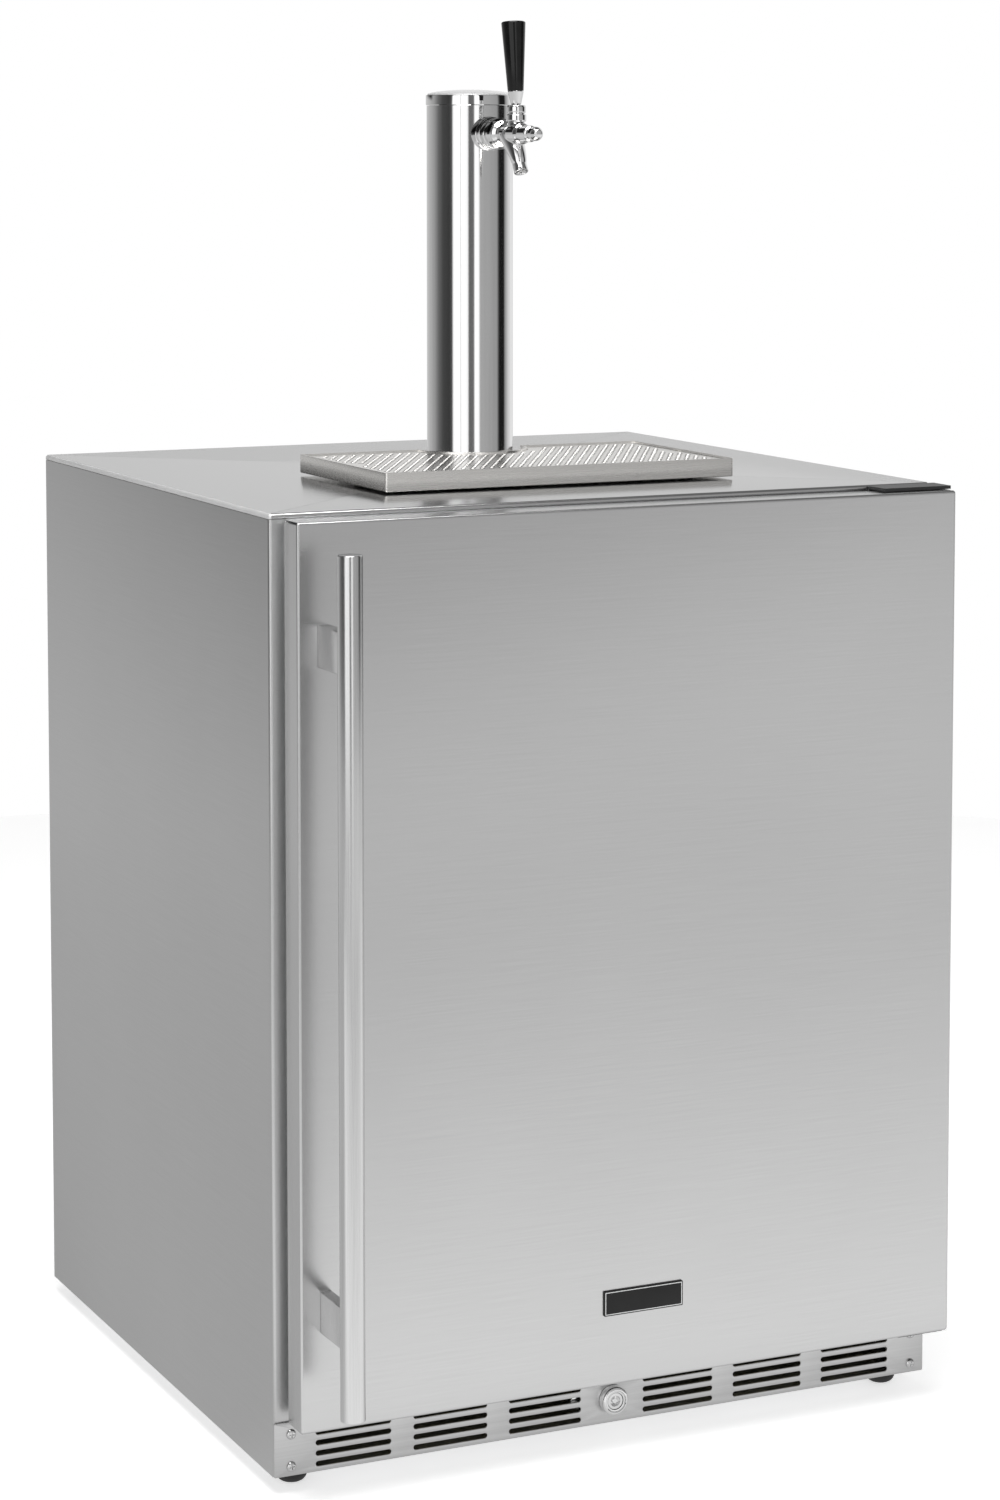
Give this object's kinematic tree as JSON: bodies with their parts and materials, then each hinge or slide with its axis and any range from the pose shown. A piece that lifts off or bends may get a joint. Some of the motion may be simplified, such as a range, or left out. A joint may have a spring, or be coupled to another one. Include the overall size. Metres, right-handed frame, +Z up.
{
  "type": "kegerator",
  "caption": "Undercounter stainless kegerator with a hinged door, draft tower and faucet, drip tray, kick grille with lock, and cooling and gas equipment inside.",
  "frame": {"origin": "centre of the bounding box on the floor, under the levelling feet", "axes": "+Z up, +X to the right and -Y out of the front, as seen by a person facing the door"},
  "size_m": [0.609, 0.6694, 1.1852],
  "materials": {
    "stainless_panel": "vertically brushed stainless sheet",
    "stainless_door": "finely brushed stainless sheet",
    "stainless_grille": "brushed stainless sheet with punched slots",
    "handle_steel": "satin stainless bar",
    "tray_steel": "brushed stainless sheet",
    "polished_steel": "mirror-polished stainless",
    "chrome_plate": "bright chrome plate",
    "galvanised_sheet": "galvanised steel sheet",
    "insulation_foam": "rigid foam",
    "white_liner": "satin moulded plastic",
    "black_gloss": "glossy moulded plastic",
    "black_rubber": "moulded rubber",
    "black_paint": "satin black paint",
    "fan_plastic": "matte moulded plastic",
    "grey_knob": "matte moulded plastic",
    "condenser_metal": "thin metal fins",
    "cylinder_aluminium": "brushed aluminium",
    "brass_fittings": "machined brass",
    "clear_hose": "clear vinyl tube",
    "red_hose": "smooth red hose"
  },
  "bodies": {
    "cabinet": {"side_panel_left": "stainless_panel", "side_panel_right": "stainless_panel", "top_panel": "stainless_panel", "front_sill": "stainless_panel", "grille_panel": "stainless_grille", "tower_column": "polished_steel", "lock_housing": "polished_steel", "tower_cap": "chrome_plate", "shank": "chrome_plate", "shank_collar": "chrome_plate", "coupling_nut": "chrome_plate", "faucet_body": "chrome_plate", "faucet_bonnet": "chrome_plate", "coupler_body": "chrome_plate", "back_panel": "galvanised_sheet", "base_pan": "galvanised_sheet", "foam_base": "insulation_foam", "foam_left": "insulation_foam", "foam_right": "insulation_foam", "foam_top": "insulation_foam", "foam_back": "insulation_foam", "inner_liner": "white_liner", "front_frame": "white_liner", "evaporator_cover": "white_liner", "control_housing": "white_liner", "hinge_bracket_top": "black_paint", "hinge_bracket_bottom": "black_paint", "compressor": "black_paint", "power_inlet": "fan_plastic", "condenser": "condenser_metal", "co2_cylinder": "cylinder_aluminium", "regulator": "brass_fittings", "beer_line": "clear_hose", "gas_line": "red_hose"},
    "door": {"door_skin": "stainless_door", "door_foam": "insulation_foam", "door_inner_panel": "white_liner", "door_gasket": "black_rubber", "handle_bar": "handle_steel", "handle_post_top": "handle_steel", "handle_post_bottom": "handle_steel", "badge_plate": "black_gloss", "lock_strike": "galvanised_sheet"},
    "tap_lever": {"faucet_lever": "chrome_plate", "tap_handle": "black_gloss"},
    "tap_shaft": {"faucet_shaft": "chrome_plate"},
    "lock": {"lock_plug": "polished_steel"},
    "foot_front_left": {"levelling_foot_front_left": "black_rubber"},
    "foot_front_right": {"levelling_foot_front_right": "black_rubber"},
    "foot_rear_left": {"levelling_foot_rear_left": "black_rubber"},
    "foot_rear_right": {"levelling_foot_rear_right": "black_rubber"},
    "drip_pan": {"drip_pan": "tray_steel"},
    "drip_grid": {"drip_grid": "tray_steel"},
    "evaporator_fan": {"evaporator_fan": "fan_plastic"},
    "condenser_fan": {"condenser_fan": "fan_plastic"},
    "thermostat_knob": {"thermostat_knob": "grey_knob"},
    "valve_knob": {"cylinder_valve_knob": "black_gloss"},
    "regulator_knob": {"regulator_knob": "black_gloss"},
    "coupler_handle": {"coupler_handle": "black_gloss"},
    "coupler_probe": {"coupler_probe": "chrome_plate"}
  },
  "joints": [
    {"name": "door_hinge", "type": "hinge", "parent": "cabinet", "child": "door", "pos_m": [0.2955, -0.25125, 0.424], "axis": [0, 0, 1], "range_deg": [0, 115]},
    {"name": "tap_lever_tilt", "type": "hinge", "parent": "cabinet", "child": "tap_lever", "pos_m": [-0.0015, -0.05125, 1.1085], "axis": [1, 0, 0], "range_deg": [0, 22]},
    {"name": "tap_shaft_slide", "type": "slide", "parent": "cabinet", "child": "tap_shaft", "axis": [0, 1, 0], "range_m": [0, 0.00768]},
    {"name": "lock_turn", "type": "hinge", "parent": "cabinet", "child": "lock", "pos_m": [-0.0015, -0.23125, 0.034], "axis": [0, 1, 0], "range_deg": [0, 90]},
    {"name": "foot_front_left_screw", "type": "slide", "parent": "cabinet", "child": "foot_front_left", "axis": [0, 0, -1], "range_m": [0, 0.02]},
    {"name": "foot_front_right_screw", "type": "slide", "parent": "cabinet", "child": "foot_front_right", "axis": [0, 0, -1], "range_m": [0, 0.02]},
    {"name": "foot_rear_left_screw", "type": "slide", "parent": "cabinet", "child": "foot_rear_left", "axis": [0, 0, -1], "range_m": [0, 0.02]},
    {"name": "foot_rear_right_screw", "type": "slide", "parent": "cabinet", "child": "foot_rear_right", "axis": [0, 0, -1], "range_m": [0, 0.02]},
    {"name": "drip_pan_lift", "type": "slide", "parent": "cabinet", "child": "drip_pan", "axis": [0, 0, 1], "range_m": [0, 0.1]},
    {"name": "drip_grid_lift", "type": "slide", "parent": "drip_pan", "child": "drip_grid", "axis": [0, 0, 1], "range_m": [0, 0.08]},
    {"name": "evaporator_fan_spin", "type": "hinge", "parent": "cabinet", "child": "evaporator_fan", "pos_m": [-0.0665, 0.27575, 0.61], "axis": [0, 1, 0], "continuous": true},
    {"name": "condenser_fan_spin", "type": "hinge", "parent": "cabinet", "child": "condenser_fan", "pos_m": [0.0665, 0.22075, 0.095], "axis": [1, 0, 0], "continuous": true},
    {"name": "thermostat_turn", "type": "hinge", "parent": "cabinet", "child": "thermostat_knob", "pos_m": [0.2242, -0.11925, 0.705], "axis": [-1, 0, 0], "range_deg": [0, 270]},
    {"name": "cylinder_valve_turn", "type": "hinge", "parent": "cabinet", "child": "valve_knob", "pos_m": [0.1485, 0.18075, 0.6593], "axis": [0, 0, 1], "range_deg": [0, 720]},
    {"name": "regulator_knob_turn", "type": "hinge", "parent": "cabinet", "child": "regulator_knob", "pos_m": [0.0705, 0.14575, 0.6263], "axis": [0, -1, 0], "range_deg": [0, 720]},
    {"name": "coupler_handle_press", "type": "hinge", "parent": "cabinet", "child": "coupler_handle", "pos_m": [-0.0015, -0.10725, 0.727], "axis": [1, 0, 0], "range_deg": [0, 28]},
    {"name": "coupler_probe_slide", "type": "slide", "parent": "cabinet", "child": "coupler_probe", "axis": [0, 0, -1], "range_m": [0, 0.012], "deforming": ["beer_line"]}
  ],
  "couplings": [
    {"joint": "tap_shaft_slide", "follows": "tap_lever_tilt", "m_per_rad": 0.02},
    {"joint": "coupler_probe_slide", "follows": "coupler_handle_press", "m_per_rad": 0.0245}
  ]
}
